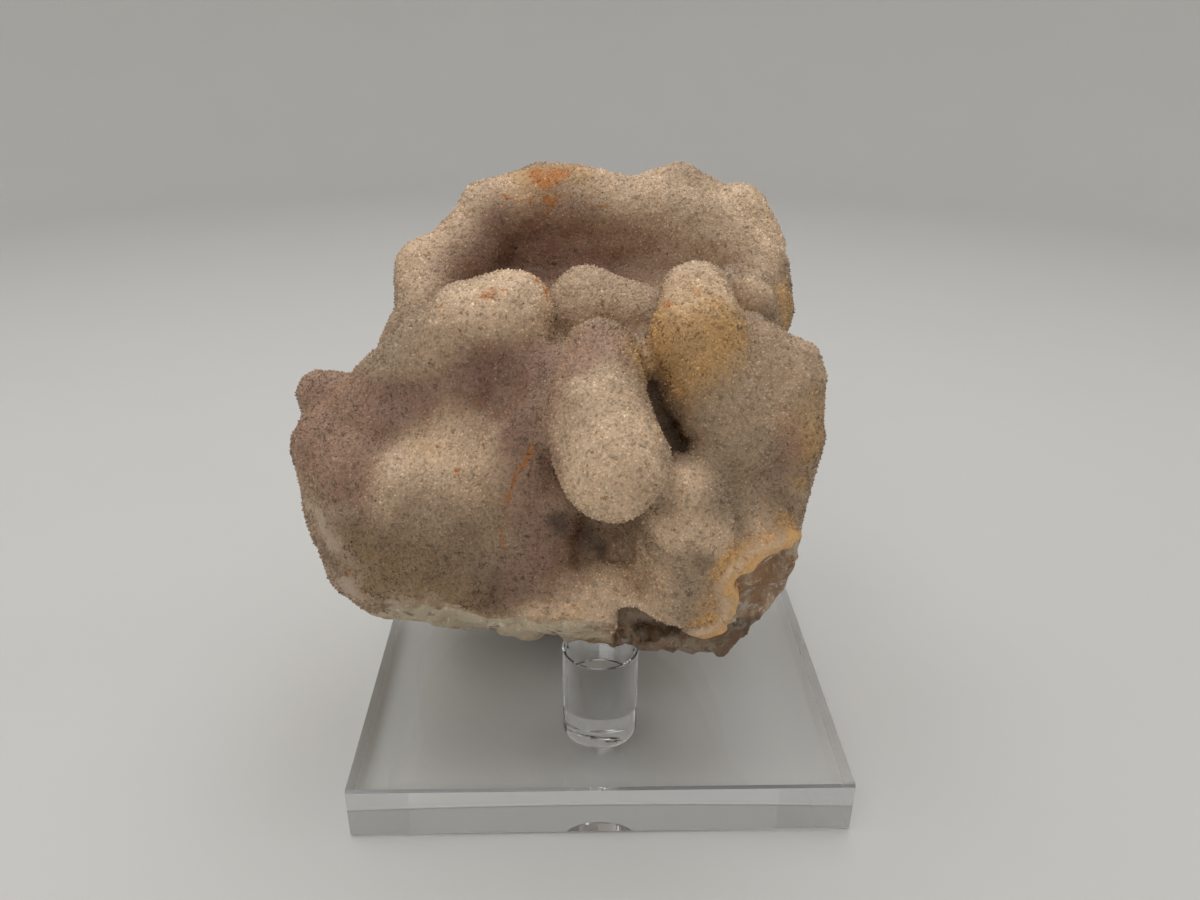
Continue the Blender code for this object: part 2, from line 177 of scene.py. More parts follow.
# Where each tint lies on the stone: centres and reaches in millimetres (x, y, z, reach).
TINTS = {
    # Cream: pale crust, and also painted light on the mound, the tongue's tip and the lobe tops.
    "cream_and_painted_light": [
        (2, -40, 49, 6), (-1, -40, 51, 5), (6, -40, 49, 4), (-3, -40, 49, 3), (1, -52, 82, 3),
        (-1, -52, 78, 3), (3, -52, 78, 3), (-16, -25, 106, 7), (-11, -21, 105, 4),
        (-23, -26, 104, 5), (-19, -28, 102, 4), (1, -52, 83, 8), (2, -52, 78, 6), (1, -48, 89, 6),
        (-2, -50, 85, 4), (6, -49, 86, 4), (0, -44, 93, 4), (-4, -50, 81, 4), (-1, -52, 77, 4),
        (-28, -33, 79, 6), (-24, -31, 79, 4), (-38, -34, 76, 4), (-33, -34, 78, 5),
        (18, -22, 108, 4), (15, -24, 106, 4), (22, -23, 106, 3), (29, -4, 100, 3),
        (34, 27, 113, 6), (39, 24, 106, 5), (12, 35, 116, 4), (35, -2, 100, 2), (-38, 9, 102, 5),
        (-34, 12, 105, 5), (-28, 18, 112, 5), (-21, 19, 116, 5), (2, 23, 117, 6), (9, 23, 115, 5),
        (2, -39, 51, 6), (8, -40, 49, 5), (-2, -39, 51, 5), (-7, -39, 48, 4), (-13, -38, 45, 3),
        (-1, -41, 48, 4), (5, -35, 52, 4), (15, -41, 76, 3), (17, -44, 69, 3), (13, -44, 66, 3),
        (18, -44, 65, 3), (23, -40, 65, 3), (30, -34, 63, 3),
    ],
    # Sand: pale tan crust; the spots on the hood's front face are painted light.
    "sand_and_painted_light": [
        (19, 31, 116, 8), (22, 33, 117, 6), (-30, -28, 97, 4), (-34, -27, 93, 4),
        (-27, -29, 100, 3), (33, -26, 91, 4), (31, -25, 94, 3), (12, 20, 108, 9), (21, 19, 104, 7),
        (3, 19, 110, 7), (9, 21, 113, 6), (-31, -40, 72, 7), (-22, -39, 73, 5), (-37, -39, 71, 5),
        (-7, -44, 89, 5), (9, -21, 83, 4), (6, -52, 80, 3), (35, -26, 91, 7), (29, -31, 89, 6),
        (0, -9, 101, 7), (-5, -8, 102, 4), (7, -9, 99, 4), (25, -36, 85, 5), (5, 20, 111, 8),
        (14, 20, 108, 8), (23, 21, 110, 8), (32, 19, 106, 6), (-8, 19, 113, 5), (21, 19, 103, 5),
    ],
    "rose": [
        (-1, -30, 98, 5), (-5, -36, 97, 3), (-9, -40, 91, 3), (-10, -42, 84, 3), (-8, -47, 81, 3),
        (-48, -31, 75, 5), (-44, -28, 78, 4), (-48, -33, 70, 4), (-54, -17, 83, 5),
        (-52, -23, 80, 5), (-54, -27, 75, 5), (-57, -24, 78, 3), (-46, -24, 83, 3),
        (37, -31, 81, 3), (34, -32, 78, 4), (-13, -37, 70, 4), (-11, -36, 75, 3),
        (-14, -38, 76, 3),
    ],
    # Lilac: purple-brown crust, and also painted shade in the hollows under the left finger and in
    # the hood's bowl.
    "lilac_and_painted_shade": [
        (-19, -28, 93, 6), (-24, -28, 91, 4), (-15, -29, 91, 4), (-12, -28, 95, 3),
        (-41, -25, 84, 4), (-34, -26, 85, 4), (-23, -29, 84, 5), (-17, -35, 85, 4),
        (-15, -37, 83, 3), (-32, -27, 89, 3), (-11, 21, 103, 10), (-20, 18, 105, 8),
        (1, 21, 102, 9), (11, 20, 99, 6), (-28, 12, 102, 6), (-15, 19, 107, 6), (-4, 20, 107, 6),
        (-8, -36, 61, 5), (-12, -38, 56, 5), (-15, -38, 51, 4), (-6, -34, 55, 4), (33, -32, 74, 3),
    ],
    "grey": [
        (40, -27, 86, 4), (29, -35, 81, 6), (25, -35, 75, 5), (31, -32, 67, 6), (26, -34, 66, 5),
        (20, -36, 85, 4), (16, -43, 56, 4), (16, -42, 50, 4), (18, -42, 51, 3), (-38, -22, 98, 5),
        (-41, -22, 93, 4), (-25, -39, 58, 5), (-30, -41, 68, 4), (-44, 9, 94, 4),
    ],
    "ochre": [
        (-17, 23, 118, 3), (-7, 22, 118, 2), (16, -24, 106, 2), (11, -31, 97, 4), (40, -29, 81, 3),
        (41, -27, 85, 3), (16, -31, 102, 7), (11, -30, 98, 5), (21, -29, 102, 5), (17, -34, 96, 5),
        (23, -31, 98, 4), (10, -26, 101, 3), (14, -33, 92, 3), (-12, 22, 118, 4), (-4, 23, 119, 4),
        (-17, 21, 117, 3), (42, 11, 94, 3), (42, 9, 89, 2), (-19, 18, 114, 3), (40, -29, 81, 3),
        (40, -30, 77, 2), (39, -30, 70, 2), (34, -31, 81, 2), (-32, -34, 78, 3), (-5, -40, 48, 2),
        (-12, -39, 43, 2), (8, -34, 41, 2),
    ],
    "orange": [
        (28, -38, 61, 2), (24, -41, 59, 2), (21, -43, 56, 2), (20, -42, 51, 2), (32, -37, 62, 2),
        (36, -33, 61, 2), (20, -41, 45, 2),
    ],
    "olive": [
        (-38, -39, 55, 6), (-44, -37, 50, 4), (-47, -36, 59, 4), (-31, -40, 51, 5),
        (-35, -40, 62, 4), (-25, -39, 49, 4), (-32, -41, 60, 4),
    ],
    # Umber: dark brown crust, and also painted shade on the lower front of the dome.
    "umber_and_painted_shade": [
        (-32, -41, 70, 5), (-34, -41, 59, 5), (-27, -41, 65, 4), (-39, -39, 63, 3),
        (-29, -41, 59, 4), (-24, -39, 55, 4), (-20, -38, 51, 4), (-48, -35, 62, 3),
        (18, -44, 60, 2), (34, -32, 67, 2), (8, -37, 51, 2), (11, -40, 50, 2), (-53, -33, 55, 3),
    ],
    "rust": [
        (-12, 21, 117, 2), (-11, 18, 113, 2), (-16, 18, 114, 1), (-8, 19, 114, 1),
        (-14, 23, 119, 2), (-9, 22, 118, 2), (-21, 18, 114, 1), (-5, 19, 112, 1),
        (-11, -20, 106, 2), (-10, -21, 104, 2), (-12, -18, 107, 1), (-20, -26, 105, 2),
        (-21, -27, 103, 1), (14, -22, 106, 1), (12, -25, 103, 1), (16, -25, 106, 1),
        (-27, -38, 76, 1), (-30, -40, 73, 1), (-50, -34, 53, 1),
    ],
    "pale": [
        (-49, -34, 65, 2), (-51, -35, 59, 2), (-50, -33, 47, 2), (-52, -33, 59, 2),
        (-55, -30, 62, 2), (-49, -34, 50, 3), (-40, -38, 48, 3), (-50, -35, 56, 2),
        (-45, -35, 47, 2), (-33, -40, 49, 2), (-58, -27, 64, 1),
    ],
    "shadow": [
        (-3, -30, 56, 3), (0, -29, 54, 2), (14, -32, 82, 1), (13, -33, 86, 1), (16, -33, 79, 1),
        (-8, -36, 65, 2), (-6, -34, 60, 2), (4, -42, 46, 2), (8, -35, 40, 2), (11, -35, 39, 1),
    ],
}
# Cream carries painted light; lilac and shadow carry painted shade, so their weights also set how
# strong that is.
STRONG = {"cream_and_painted_light": 1.2, "rust": 3.0, "shadow": 2.0, "lilac_and_painted_shade": 1.3, "orange": 1.6, "ochre": 0.75}

# Where the crust is gone and host rock shows, in millimetres (x, y, z, reach).
ROCK_SPOTS = [
    (35, -31, 47, 4), (32, -32, 42, 4), (29, -35, 39, 3), (27, -36, 35, 2), (36, -32, 51, 2),
    (26, -42, 53, 2), (25, -41, 47, 2),
]

# The rusty seam that runs down the front, in millimetres.
SEAM = [
    (-13, -38, 81), (-14, -38, 78), (-16, -38, 75), (-17, -38, 71), (-18, -38, 68), (-19, -38, 64),
    (-19, -38, 60), (-20, -38, 55), (-21, -38, 48), (-21, -37, 42),
]
CRUST_THICK = 2.2  # mm of chalcedony between the broken rock and the crystals
UNDERSIDE_TOP = 44.0  # mm; faces that look down below this height are broken rock
PLAIN_WEIGHT = 0.2  # how strongly the plain tan holds its own against the tints
LEAST_REACH = 1.1  # mm; smaller spots would fall between the skin's points
MOTTLE = 2.2 * MM  # size of the mottling that breaks up every tint
QUARTZ_IOR = 1.544
FACETS, FACET_TILT, FACET_LIMIT = 5200, 0.34, 1.2  # planes of broken rock, and their most, mm
BOX_MARGIN = 0.5 * MM  # how far the visible stone may pass the solid's box
TIP_LEAN, TIP_SHIFT = 0.22, 0.15  # spread of the crystals' axes and of their points
CEMENT_DEPTH = 1.0 * MM  # how far the rod's foot is set into the slab before they are joined


# ---- numbers over space


def ramp(value, low, high):
    share = np.clip((value - low) / (high - low), 0, 1)
    return share * share * (3 - 2 * share)


class Field:
    """Smooth seeded noise over space, about -1 to 1."""

    SIDE = 48

    def __init__(self, seed):
        self.values = np.random.default_rng(seed).uniform(-1, 1, (self.SIDE,) * 3)

    def __call__(self, points, size):
        place = points / size
        low = np.floor(place).astype(int)
        share = ramp(place - low, 0, 1)
        total = np.zeros(len(points))
        for corner in itertools.product((0, 1), repeat=3):
            weight = np.prod(np.where(corner, share, 1 - share), axis=1)
            index = (low + corner) % self.SIDE
            total += weight * self.values[tuple(index.T)]
        return total


POCKET_RAGGED = Field(11)


def spot_weight(points, spots):
    """Weight of one tint at each point, in millimetres, from its soft round spots."""
    bare = np.ones(len(points))
    for x, y, z, reach in spots:
        away = ((points - (x, y, z)) ** 2).sum(axis=1) / max(reach, LEAST_REACH) ** 2
        bare *= 1 - np.exp(-away)
    return 1 - bare


def tint_shares(points, warp):
    """For each tint, the share to mix over those before it, so that all count by their weight."""
    total = np.full(len(points), PLAIN_WEIGHT)
    shares = {}
    for turn, name in enumerate(TINTS):
        weight = spot_weight(points, TINTS[name]) * np.exp(0.7 * warp(points + 31 * turn, 5.0))
        weight *= STRONG.get(name, 1.0)
        total += weight
        shares[name] = weight / total
    return shares


def distance_to_line(points, line):
    """Distance from each point to a line through several places."""
    best = np.full(len(points), np.inf)
    for start, end in zip(line, line[1:]):
        start, along = np.array(start, float), np.subtract(end, start)
        share = np.clip((points - start) @ along / (along @ along), 0, 1)
        away = np.linalg.norm(points - start - share[:, None] * along, axis=1)
        best = np.minimum(best, away)
    return best


def broken_share(points, normals):
    """How far each point lies on broken rock, and how near it is to the edge of the crust."""
    rock = np.zeros(len(points))
    edge = np.full(len(points), np.inf)
    for on_face, normal in BREAKS.values():
        normal = np.array(normal) / np.linalg.norm(normal)
        inside = -(points - on_face) @ normal
        flat = ramp(normals @ normal, 0.5, 0.8) * (1 - ramp(inside, 0.5, 1.5))
        rock = np.maximum(rock, flat)
        edge = np.minimum(edge, np.maximum(inside, 0))
    low = 1 - ramp(points[:, 2], UNDERSIDE_TOP - 4, UNDERSIDE_TOP)
    rock = np.maximum(rock, low * (1 - ramp(normals[:, 2], -0.75, -0.45)))
    return rock, 1 - ramp(edge, 0.4 * CRUST_THICK, CRUST_THICK)


# ---- meshes


def table(items, field, width=3):
    """One field of a mesh's points or faces, as a table of numbers."""
    values = np.empty(len(items) * width, np.float32)
    items.foreach_get(field, values)
    return (values.reshape(-1, width) if width > 1 else values).astype(float)


def move_points(mesh, points):
    mesh.vertices.foreach_set("co", points.astype(np.float32).ravel())
    mesh.update()


def store(mesh, name, values):
    """Keep a number or a vector for each point of a mesh."""
    kind, field = ("FLOAT_VECTOR", "vector") if np.ndim(values) == 2 else ("FLOAT", "value")
    data = mesh.attributes.new(name, kind, "POINT").data
    data.foreach_set(field, np.asarray(values, np.float32).ravel())


def evaluated_mesh(obj):
    graph = bpy.context.evaluated_depsgraph_get()
    return bpy.data.meshes.new_from_object(obj.evaluated_get(graph))


def mesh_from(body, name):
    """Turn what was built in a bmesh into a mesh."""
    mesh = bpy.data.meshes.new(name)
    body.to_mesh(mesh)
    body.free()
    return mesh


def add_object(name, data):
    obj = bpy.data.objects.new(name, data)
    bpy.context.scene.collection.objects.link(obj)
    return obj


def add_piece(name, mesh, material):
    mesh.materials.clear()
    mesh.materials.append(material)
    piece = add_object(name, mesh)
    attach(piece, ROOT)
    return piece


# ---- shader maths


class Wire:
    """One socket of a shader, so that its maths can be written as plain expressions."""

    def __init__(self, kit, socket):
        self.kit = kit
        self.socket = socket

    def _math(self, operation, *values):
        return self.kit.node("ShaderNodeMath", {"operation": operation}, *values)

    def __add__(self, other):
        return self._math("ADD", self, other)

    def __sub__(self, other):
        return self._math("SUBTRACT", self, other)

    def __rsub__(self, other):
        return self._math("SUBTRACT", other, self)

    def __mul__(self, other):
        return self._math("MULTIPLY", self, other)

    __radd__ = __add__
    __rmul__ = __mul__


class Kit:
    """The node tree of one material, with one method for each way of adding to it."""

    def __init__(self, name):
        self.material = bpy.data.materials.new(name)
        self.material.use_nodes = True
        self.tree = self.material.node_tree
        self.shader = self.tree.nodes["Principled BSDF"]

    def node(self, kind, settings, *values, out=0, **named):
        """Add a node, set its settings, then its sockets by position and by name."""
        node = self.tree.nodes.new(kind)
        for key, value in settings.items():
            setattr(node, key, value)
        for key, value in [*enumerate(values), *named.items()]:
            self.join(node.inputs[key], value)
        return Wire(self, node.outputs[out])

    def join(self, socket, value):
        if isinstance(value, Wire):
            self.tree.links.new(value.socket, socket)
        elif socket.type == "RGBA":
            socket.default_value = (*value, 1.0)
        else:
            socket.default_value = value

    def layer(self, name):
        """A number stored on the mesh."""
        return self.node("ShaderNodeAttribute", {"attribute_name": name}, out="Fac")

    def place(self):
        return self.node("ShaderNodeTexCoord", {}, out="Object")

    def noise(self, size, detail=2.0, roughness=0.5, distortion=0.0):
        return self.node(
            "ShaderNodeTexNoise",
            {"noise_dimensions": "3D"},
            Vector=self.place(),
            Scale=1 / size,
            Detail=detail,
            Roughness=roughness,
            Distortion=distortion,
        )

    def edges(self, size):
        """Distance to the edges of a net of cells, as a share of their size."""
        settings = {"feature": "DISTANCE_TO_EDGE"}
        return self.node("ShaderNodeTexVoronoi", settings, Vector=self.place(), Scale=1 / size)

    def step(self, value, low, high):
        """A soft threshold: 0 below the low value, 1 above the high one."""
        settings = {"interpolation_type": "SMOOTHSTEP"}
        return self.node("ShaderNodeMapRange", settings, value, low, high, 0.0, 1.0)

    def blend(self, share, first, second):
        """Mix two colours."""
        node = self.tree.nodes.new("ShaderNodeMix")
        node.data_type = "RGBA"
        for index, value in ((0, share), (6, first), (7, second)):
            self.join(node.inputs[index], value)
        return Wire(self, node.outputs[2])

    def scaled(self, colour, share):
        return self.node("ShaderNodeVectorMath", {"operation": "SCALE"}, colour, Scale=share)

    def finish(self, **values):
        """Fill the shader's sockets and give back the material."""
        for key, value in values.items():
            self.join(self.shader.inputs[key.replace("_", " ")], value)
        return self.material


def tinted(kit, colours, mottle):
    """The crust's colour: soft tints laid over plain tan, their edges broken up by mottling."""
    wide = kit.step(kit.noise(9 * MM, 3), 0.38, 0.62)
    colour = kit.blend(wide, colours.tan, colours.dusk)
    patchy = mottle * 1.1 + 0.45
    # Some tints also paint light and shade: cream and sand lift faces the lamps leave too dark,
    # while lilac, umber and shadow darken hollows and low faces.
    for name in TINTS:
        share = kit.layer(name) * patchy
        if name == "rust":
            stains = kit.layer(name) + kit.noise(1.3 * MM, 3, 0.7) * 1.3
            share = kit.step(stains, 0.95, 1.35) * 0.9
        colour = kit.blend(share, colour, getattr(colours, name))
    freckles = kit.step(kit.noise(1.2 * MM, 1), 0.67, 0.72)
    freckles *= kit.step(kit.layer("cream_and_painted_light"), 0.1, 0.6)
    return kit.blend(freckles * 0.8, colour, colours.speck)


def crystal_material(name):
    """Quartz tips: each with its own lightness and painted shade at its foot, in pits and between
    tips; a few with bright polished faces.
    """
    colours = bpy.context.scene.quartz_colours
    kit = Kit(name)
    mottle = kit.noise(MOTTLE, 3, 0.6)
    colour = tinted(kit, colours, mottle)
    grain, tip, pit = kit.layer("grain"), kit.layer("tip"), kit.layer("pit")
    # Painted shade: the pit crystals take the shadow colour.
    colour = kit.blend(pit * 0.85, colour, colours.shadow)
    # Painted shade: dark lines along the edges of a net of cells stand for the gaps between
    # crystals, kept off the cream and sand.
    gap_shade = kit.step(kit.edges(1.7 * MM), 0.1, 0.04)
    gap_shade *= kit.step(kit.noise(7 * MM, 2), 0.42, 0.6)
    bare = 1 - kit.step(kit.layer("cream_and_painted_light") + kit.layer("sand_and_painted_light"), 0.1, 0.4)
    colour = kit.blend(gap_shade * bare * 0.6, colour, colours.shadow)
    # Painted shade: each crystal is darker at its foot than at its point; the rest of its
    # lightness varies at random and with the mottling.
    light = (grain * 0.75 + 0.66) * (tip * 0.6 + 0.62) * (mottle * 0.35 + 0.82)
    colour = kit.scaled(colour, light)
    gloss = 0.48 - kit.step(grain, 0.86, 0.9) * 0.38
    return kit.finish(Base_Color=colour, Roughness=gloss, IOR=QUARTZ_IOR)


def skin_material(name):
    """Crust between the crystals, a chalcedony rim at its broken edge, and the host rock."""
    colours = bpy.context.scene.quartz_colours
    kit = Kit(name)
    mottle = kit.noise(MOTTLE, 3, 0.6)
    fine = kit.noise(0.6 * MM, 3, 0.65)
    crust = kit.scaled(tinted(kit, colours, mottle), fine * 0.9 + 0.42)
    streaks = kit.noise(4.5 * MM, 5, 0.6, 1.4)
    tone = kit.layer("tone")
    lightness = kit.step(streaks + tone * 0.12 + kit.layer("left") * 0.15, 0.44, 0.74)
    stone = kit.blend(lightness, colours.matrix, colours.matrix_light)
    veins = kit.step(kit.noise(3.2 * MM, 5, 0.65, 2.0), 0.55, 0.64)
    stone = kit.blend(veins * 0.75, stone, colours.vein)
    stains = kit.step(kit.noise(3.2 * MM, 3), 0.6, 0.72)
    stone = kit.blend(stains * 0.3, stone, colours.rust)
    stone = kit.blend(kit.step(mottle, 0.6, 0.7) * 0.75, stone, colours.shadow)
    # Painted shade: the notch and the downward-facing band low on the front take the shadow
    # colour.
    stone = kit.blend(kit.layer("dark") * 0.8, stone, colours.shadow)
    stone = kit.scaled(stone, (tone * 0.4 + 0.8) * (fine * 0.7 + 0.65))
    rim = kit.blend(kit.step(streaks, 0.42, 0.6), colours.rim, colours.pale)
    ragged = (mottle - 0.5) * 0.6
    band = kit.step(kit.layer("band") + ragged, 0.3, 0.7)
    colour = kit.blend(band * 0.8, crust, rim)
    bare = kit.step(kit.layer("rock") + ragged * 0.5, 0.35, 0.65)
    colour = kit.blend(bare, colour, stone)
    height = fine + mottle
    normal = kit.node("ShaderNodeBump", {}, Height=height, Strength=0.7, Distance=0.25 * MM)
    gloss = 0.66 - fine * 0.3
    return kit.finish(Base_Color=colour, Roughness=gloss, IOR=QUARTZ_IOR, Normal=normal)


def acrylic_material(name, roughness, clearness=1.0):
    """Clear acrylic with faint scuffs."""
    stand = bpy.context.scene.quartz_stand
    kit = Kit(name)
    scuffs = kit.step(kit.noise(9 * MM, 4, 0.7), 0.55, 0.8)
    return kit.finish(
        Base_Color=stand.tint,
        Roughness=scuffs * 0.04 + roughness,
        IOR=stand.ior,
        Transmission_Weight=clearness,
    )


def paper_material(name, colour):
    kit = Kit(name)
    shade = kit.blend(kit.noise(60 * MM, 2), colour, [0.97 * value for value in colour])
    return kit.finish(Base_Color=shade, Roughness=0.85)


# ---- settings


def setting(kind, name, description, default, **limits):
    return kind(name=name, description=description, default=default, min=0.0, **limits)


def a_colour(*words):
    return setting(FloatVectorProperty, *words, subtype="COLOR", size=3, max=1.0)


def a_length(*words):
    return setting(FloatProperty, *words, subtype="DISTANCE", unit="LENGTH")


def a_power(*words):
    return setting(FloatProperty, *words, subtype="POWER", unit="POWER")


def a_number(*words, highest=1.0):
    return setting(FloatProperty, *words, max=highest)


class QuartzColours(bpy.types.PropertyGroup):
    tan: a_colour("Tan", "Main colour of the crust", (0.50, 0.34, 0.218))
    dusk: a_colour("Dusk", "Darker patches of the crust", (0.405, 0.27, 0.168))
    # Cream is the pale crust on the lobe tops and also painted light, brightening the mound, the
    # tongue's tip and other front faces the lamps leave too dark.
    cream_and_painted_light: a_colour("Cream", "Crust on the tops of the lobes", (0.90, 0.65, 0.43))
    # Sand is pale tan crust and also painted light on the hood's front face, lifting a face the
    # lamps leave too dark.
    sand_and_painted_light: a_colour("Sand", "Pale tan crust", (0.64, 0.45, 0.29))
    rose: a_colour("Rose", "Pinkish brown crust", (0.42, 0.24, 0.158))
    # Lilac is the crust's own purple-brown and also painted shade, darkening the hollows and the
    # bowl under the hood.
    lilac_and_painted_shade: a_colour("Lilac", "Brownish purple crust in the hollows", (0.32, 0.175, 0.118))
    grey: a_colour("Grey", "Grey brown crust", (0.48, 0.345, 0.222))
    ochre: a_colour("Ochre", "Iron-yellow crust", (0.66, 0.38, 0.135))
    orange: a_colour("Orange", "Iron-stained rim of the crust", (0.89, 0.50, 0.18))
    olive: a_colour("Olive", "Greenish brown crust", (0.33, 0.21, 0.095))
    # Umber is dark brown crust and also painted shade, darkening the lower front of the dome.
    umber_and_painted_shade: a_colour("Umber", "Dark brown crust low on the stone", (0.26, 0.16, 0.09))
    rust: a_colour("Rust", "Iron stains", (0.60, 0.21, 0.03))
    speck: a_colour("Speck", "Small iron specks", (0.48, 0.22, 0.07))
    pale: a_colour("Pale", "Bare chalcedony", (0.58, 0.43, 0.31))
    rim: a_colour("Rim", "Edge of the crust", (0.36, 0.21, 0.11))
    shadow: a_colour("Shadow", "Pits and cavities", (0.06, 0.029, 0.013))
    matrix: a_colour("Host rock", "Broken host rock", (0.32, 0.165, 0.075))
    matrix_light: a_colour("Pale host rock", "Paler host rock", (0.50, 0.41, 0.28))
    vein: a_colour("Vein", "Veins in the host rock", (0.66, 0.62, 0.56))


class QuartzStone(bpy.types.PropertyGroup):
    voxel: a_length("Voxel", "Size of the cells that the skin is built in", 0.85 * MM)
    inset: a_length("Inset", "How far the skin lies under the crystal tips", 0.3 * MM)
    lump_height: a_length("Lump height", "Height of the low lumps of the crust", 0.4 * MM)
    facet_height: a_length("Facet height", "Relief of the broken rock", 0.4 * MM)
    crystal_spacing: a_length("Crystal spacing", "Least distance between crystals", 0.45 * MM)
    crystal_radius: a_length("Crystal radius", "Radius of a middling crystal", 0.42 * MM)
    crystal_sink: a_length("Crystal sink", "How deep a crystal's foot is set", 0.15 * MM)
    seed: IntProperty(name="Seed", description="Seed of every random choice", default=5, min=0)


class QuartzStand(bpy.types.PropertyGroup):
    tint: a_colour("Tint", "Tint of the clear acrylic", (0.985, 0.99, 0.99))
    roughness: a_number("Roughness", "Roughness of the polished faces", 0.01)
    edge_roughness: a_number("Edge roughness", "Roughness of the sawn edges", 0.03)
    edge_clearness: a_number("Edge clearness", "How clear the sawn edges are", 0.74)
    edge: a_length("Edge", "Width of the scraped slant along the slab's edges", 0.5 * MM)
    ior: a_number("IOR", "Index of refraction of acrylic", 1.49, highest=3.0)


class QuartzStage(bpy.types.PropertyGroup):
    paper: a_colour("Paper", "Colour of the sweep", (0.72, 0.712, 0.69))
    sweep_radius: a_length("Sweep radius", "Distance to the wall of the sweep", 0.86)
    wall_height: a_length("Wall height", "Height of the sweep's wall", 1.1)
    sky: a_number("Sky", "Strength of the even light", 0.39, highest=10.0)
    top_light: a_power("Top light", "Power of the overhead softbox", 1.6)
    side_light: a_power("Side light", "Power of each side softbox", 0.35)
    front_light: a_power("Front light", "Power of the front softbox", 1.05)


# ---- the stone


def add_pill(body, start, end):
    """A ball stretched from one axis point to the next, with its own radius at each end."""
    ball = bmesh.ops.create_icosphere(body, subdivisions=3, radius=1.0)["verts"]
    first, last = Vector(start[:3]), Vector(end[:3])
    direction = (last - first).normalized()
    for vert in ball:
        ahead = vert.co.dot(direction) > 0
        centre, radius = (last, end[3]) if ahead else (first, start[3])
        vert.co = (centre + vert.co * radius) * MM


def lobes_object():
    body = bmesh.new()
    for chain in LOBES.values():
        for start, end in zip(chain, chain[1:]):
            add_pill(body, start, end)
    return add_object("lobes", mesh_from(body, "lobes"))


def fuse(obj, voxel, steps):
    """Fuse what overlaps into one skin, then soften its creases."""
    remesh = obj.modifiers.new("one skin", "REMESH")
    remesh.mode = "VOXEL"
    remesh.voxel_size = voxel
    smooth = obj.modifiers.new("soft creases", "SMOOTH")
    smooth.factor = 0.5
    smooth.iterations = steps
    old, skin = obj.data, evaluated_mesh(obj)
    obj.modifiers.clear()
    obj.data = skin
    bpy.data.meshes.remove(old)


def in_notch(points, margin=0.0):
    """Which points lie in the opening of the notch."""
    x, _, z = points.T
    top = NOTCH_TOP - NOTCH_FALL * np.maximum(x - NOTCH_LIP, 0)
    bottom = np.where(x > NOTCH_LIP, NOTCH_FLOOR, HEEL_Z)
    across = (x > NOTCH_LEFT - margin) & (x < NOTCH_RIGHT + margin)
    return across & (z < top + margin) & (z > bottom - margin)


def cut_notch(points):
    """Push what lies in the notch back to its inner face."""
    y = points[:, 1]
    y[in_notch(points) & (y < NOTCH_BACK)] = NOTCH_BACK


def pocket_depth(points):
    """How far inside the pocket's edge each point lies, seen from the front."""
    flat = points * (1, 0, 1)
    away = distance_to_line(flat, [(x, 0, z) for x, z in POCKET_EDGE])
    across, up = zip(*POCKET_EDGE)
    x, _, z = points.T
    inside = (x > np.interp(z, up, across)) & (z < up[-1])
    depth = np.where(inside, away, -away)
    return depth + 0.9 * POCKET_RAGGED(flat, 3.6) + 0.5 * POCKET_RAGGED(flat, 1.5)


def cut_pocket(points):
    """Push what lies in the pocket back to its rock."""
    x, y, _ = points.T
    back = POCKET_BACK + POCKET_SLOPE * (x - POCKET_LEFT)
    back += 1.2 * POCKET_RAGGED(points * (1, 0, 1) + 50, 5.0)
    inside = (pocket_depth(points) > 0) & (y < back)
    y[inside] = back[inside]


def rest_on_stand(points):
    """Keep the stone above the rod and above the slab."""
    x, y, z = points.T
    over_rod = (y < SHELF_BACK) & (np.abs(x) < SHELF_HALF)
    z[over_rod] = np.maximum(z[over_rod], SHELF_Z)
    z[:] = np.maximum(z, HEEL_Z)


def swell_of(point):
    wide, narrow = point / SWELL, point / (0.4 * SWELL)
    return noise.noise(Vector(wide)) + 0.3 * noise.noise(Vector(narrow))


def carve(mesh, swell):
    """Give the lobes their uneven swell, then cut the pocket, the notch and the breaks."""
    points = table(mesh.vertices, "co") / MM
    if swell:
        rise = np.array([swell_of(point) for point in points])
        points += swell * rise[:, None] * table(mesh.vertices, "normal")
    cut_pocket(points)
    cut_notch(points)
    for on_face, normal in BREAKS.values():
        normal = np.array(normal) / np.linalg.norm(normal)
        points -= np.outer(np.maximum((points - on_face) @ normal, 0), normal)
    rest_on_stand(points)
    move_points(mesh, points * MM)


def rough_skin(voxel):
    """The stone's surface before its fine relief."""
    lobes = lobes_object()
    fuse(lobes, voxel, 4)
    carve(lobes.data, SWELL_HEIGHT)
    fuse(lobes, voxel, 2)
    carve(lobes.data, 0)
    skin = lobes.data
    bpy.data.objects.remove(lobes, do_unlink=True)
    return skin


def rock_facets(points, rng):
    """Broken rock as small tilted planes: the height at each point, and a tone for each plane."""
    centres = rng.uniform(points.min(0) - 2, points.max(0) + 2, (FACETS, 3))
    tree = kdtree.KDTree(len(centres))
    for index, centre in enumerate(centres):
        tree.insert(centre, index)
    tree.balance()
    near = np.array([tree.find(point)[1] for point in points])
    tilts = rng.normal(0, FACET_TILT, centres.shape)
    height = ((points - centres[near]) * tilts[near]).sum(axis=1)
    return np.clip(height, -FACET_LIMIT, FACET_LIMIT), rng.random(len(centres))[near]


def keep_in_box(points):
    """Keep points, in metres, close to the solid's box, and off the stand."""
    low, high = (np.array(corner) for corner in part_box("quartz"))
    inside = np.clip(points.reshape(-1, 3), low - BOX_MARGIN, high + BOX_MARGIN) / MM
    rest_on_stand(inside)
    return (inside * MM).reshape(points.shape)


